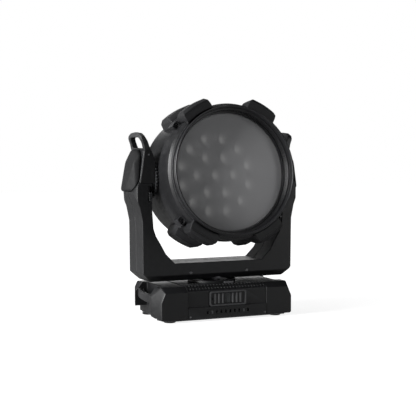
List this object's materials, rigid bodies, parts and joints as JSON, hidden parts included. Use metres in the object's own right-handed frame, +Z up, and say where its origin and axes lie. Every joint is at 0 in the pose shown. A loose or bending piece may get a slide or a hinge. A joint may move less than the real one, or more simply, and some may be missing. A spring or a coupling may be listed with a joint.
{
  "type": "moving head light",
  "caption": "Moving head wash light: low base with display and carry bars, U-shaped yoke with handle loops, and a round head with bumpers and a frosted front.",
  "frame": {"origin": "under the pan axis, on the underside of the base plate, at the centre of the omega bracket holes", "axes": "+Z up along the pan axis, the head looks towards -Y at rest, +X along the tilt axis to the object's right of the viewer"},
  "size_m": [0.458, 0.2732, 0.5196],
  "materials": {
    "cover_black": "fine moulded grain, satin",
    "panel_black": "fine grain, matte",
    "base_black": "fine moulded grain, satin",
    "handle_black": "fine grain, worn smooth",
    "pad_grey": "fine moulded grain, matte",
    "head_black": "satin paint over cast shells",
    "bumper_black": "tough grained plastic",
    "foot_rubber": "matte rubber",
    "bezel_grey": "satin",
    "display_window": "polished window over an LCD",
    "status_window": "light pipe",
    "panel_metal": "powder coat",
    "socket_black": "satin",
    "board_green": "solder mask",
    "case_steel": "zinc plated",
    "bare_steel": "machined",
    "screw_black": "black oxide",
    "button_rubber": "silicone rubber",
    "lock_black": "satin",
    "motor_black": "painted laminations",
    "belt_rubber": "rubber with fabric face",
    "frosted_sheet": "frosted diffuser, faint lamp spots",
    "sink_aluminium": "anodised",
    "led_white": "white circuit board",
    "fan_black": "satin",
    "carriage_black": "satin",
    "lens_clear": "clear acrylic"
  },
  "bodies": {
    "base": {"base_plate": "case_steel", "base_cover": "cover_black", "base_end_left": "base_black", "base_end_right": "base_black", "base_handles": "handle_black", "rubber_feet": "foot_rubber", "display_bezel": "bezel_grey", "display_glass": "display_window", "status_windows": "status_window", "connector_panel": "panel_metal", "power_sockets": "socket_black", "data_sockets": "socket_black", "power_supply": "case_steel", "control_board": "board_green", "pan_shaft": "bare_steel", "base_screws": "screw_black"},
    "button_1": {"menu_button_1": "button_rubber"},
    "button_2": {"menu_button_2": "button_rubber"},
    "button_3": {"menu_button_3": "button_rubber"},
    "button_4": {"menu_button_4": "button_rubber"},
    "button_5": {"menu_button_5": "button_rubber"},
    "button_6": {"menu_button_6": "button_rubber"},
    "pan_lock": {"pan_lock_slider": "case_steel"},
    "yoke": {"yoke_frame": "case_steel", "yoke_front_cover": "cover_black", "yoke_rear_cover": "cover_black", "arm_panel_left": "panel_black", "arm_panel_right": "panel_black", "side_pad_left": "pad_grey", "side_pad_right": "pad_grey", "handle_left": "handle_black", "handle_right": "handle_black", "pan_bearing": "bare_steel", "tilt_bearings": "bare_steel", "pan_motor": "motor_black", "tilt_motor": "motor_black", "pan_belt": "belt_rubber", "tilt_belt": "belt_rubber", "yoke_screws": "screw_black"},
    "pan_drive": {"pan_motor_pulley": "bare_steel"},
    "tilt_drive": {"tilt_motor_pulley": "bare_steel"},
    "tilt_lock": {"tilt_lock_slider": "lock_black"},
    "head": {"front_hood": "head_black", "diffuser": "frosted_sheet", "front_housing": "head_black", "rear_housing": "head_black", "front_bumpers": "bumper_black", "rear_bumpers": "bumper_black", "rear_cover": "head_black", "heat_sink": "sink_aluminium", "led_board": "led_white", "fan_frame": "fan_black", "trunnions": "bare_steel", "tilt_lock_disc": "lock_black", "tilt_pulley": "bare_steel", "head_screws": "screw_black"},
    "fan": {"fan_rotor": "fan_black"},
    "zoom": {"lens_carriage": "carriage_black", "lenses": "lens_clear"},
    "zoom_drive": {"zoom_screw": "bare_steel"}
  },
  "joints": [
    {"name": "pan", "type": "hinge", "parent": "base", "child": "yoke", "pos_m": [0, 0, 0.09], "axis": [0, 0, 1], "range_deg": [-270, 270]},
    {"name": "tilt", "type": "hinge", "parent": "yoke", "child": "head", "pos_m": [0, 0, 0.331], "axis": [1, 0, 0], "range_deg": [-187, 23]},
    {"name": "zoom_slide", "type": "slide", "parent": "head", "child": "zoom", "axis": [0, -0.9903, 0.1392], "range_m": [0, 0.04]},
    {"name": "zoom_spin", "type": "hinge", "parent": "head", "child": "zoom_drive", "pos_m": [0, -0.04299, 0.4562], "axis": [0, -0.9903, 0.1392], "range_deg": [-5, 1445]},
    {"name": "fan_spin", "type": "hinge", "parent": "head", "child": "fan", "pos_m": [0, 0.06734, 0.32154], "axis": [0, -0.9903, 0.1392], "continuous": true},
    {"name": "pan_motor_spin", "type": "hinge", "parent": "yoke", "child": "pan_drive", "pos_m": [0.149, 0, 0.107], "axis": [0, 0, 1], "range_deg": [-1026.1, 1026.1]},
    {"name": "tilt_motor_spin", "type": "hinge", "parent": "yoke", "child": "tilt_drive", "pos_m": [-0.1855, 0, 0.136], "axis": [1, 0, 0], "range_deg": [-635.9, 78.3]},
    {"name": "pan_lock_slide", "type": "slide", "parent": "base", "child": "pan_lock", "axis": [0, 1, 0], "range_m": [0, 0.005]},
    {"name": "tilt_lock_slide", "type": "slide", "parent": "yoke", "child": "tilt_lock", "axis": [0, 0, 1], "range_m": [0, 0.012]},
    {"name": "button_1_press", "type": "slide", "parent": "base", "child": "button_1", "axis": [0, 1, 0], "range_m": [0, 0.0015], "stiffness_N_per_m": 500, "springref_m": -0.001},
    {"name": "button_2_press", "type": "slide", "parent": "base", "child": "button_2", "axis": [0, 1, 0], "range_m": [0, 0.0015], "stiffness_N_per_m": 500, "springref_m": -0.001},
    {"name": "button_3_press", "type": "slide", "parent": "base", "child": "button_3", "axis": [0, 1, 0], "range_m": [0, 0.0015], "stiffness_N_per_m": 500, "springref_m": -0.001},
    {"name": "button_4_press", "type": "slide", "parent": "base", "child": "button_4", "axis": [0, 1, 0], "range_m": [0, 0.0015], "stiffness_N_per_m": 500, "springref_m": -0.001},
    {"name": "button_5_press", "type": "slide", "parent": "base", "child": "button_5", "axis": [0, 1, 0], "range_m": [0, 0.0015], "stiffness_N_per_m": 500, "springref_m": -0.001},
    {"name": "button_6_press", "type": "slide", "parent": "base", "child": "button_6", "axis": [0, 1, 0], "range_m": [0, 0.0015], "stiffness_N_per_m": 500, "springref_m": -0.001}
  ],
  "couplings": [
    {"joint": "zoom_spin", "follows": "zoom_slide", "rad_per_m": 628.32},
    {"joint": "pan_motor_spin", "follows": "pan", "ratio": -3.8},
    {"joint": "tilt_motor_spin", "follows": "tilt", "ratio": 3.4}
  ]
}
